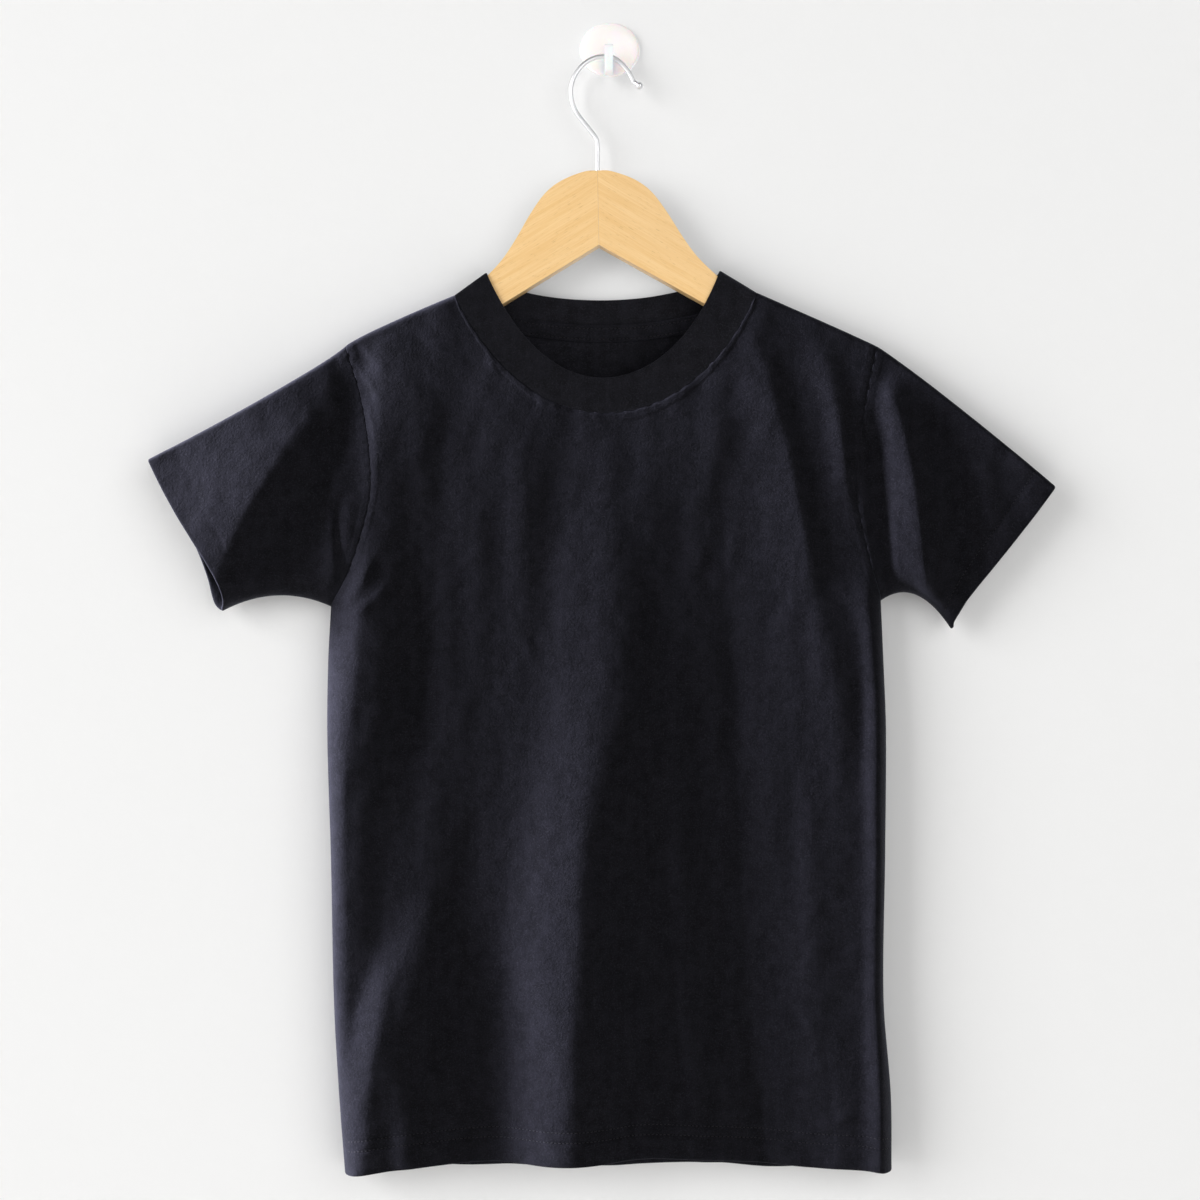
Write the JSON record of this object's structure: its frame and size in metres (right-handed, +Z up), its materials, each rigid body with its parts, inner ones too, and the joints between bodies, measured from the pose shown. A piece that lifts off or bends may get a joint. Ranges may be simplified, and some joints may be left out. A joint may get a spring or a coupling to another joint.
{
  "type": "crew neck t-shirt on a wooden hanger and wall hook",
  "caption": "Short-sleeved crew neck t-shirt hung nearly flat on a slim wooden hanger, whose wire hook hangs from an oval wall hook.",
  "frame": {"origin": "on the flat back of the wall hook's plate, straight behind the seat in which the wire hangs, on the surface of the wall", "axes": "+X to the viewer's right along the wall, +Y into the wall, +Z up; the shirt's front faces -Y"},
  "size_m": [0.5497, 0.037, 0.7019],
  "materials": {
    "jersey": "washed black cotton single jersey, matt with a faint cool sheen",
    "rib": "black cotton rib knit, matt",
    "wood": "pale wood under clear satin lacquer",
    "wire": "bright plated steel wire",
    "plastic": "glossy white plastic"
  },
  "bodies": {
    "root": {"front_panel": "jersey", "back_panel": "jersey", "left_sleeve": "jersey", "right_sleeve": "jersey", "neckband": "rib", "neck_tape": "jersey", "hanger_arm_left": "wood", "hanger_arm_right": "wood", "hook_wire": "wire", "wall_hook": "plastic"}
  },
  "joints": []
}
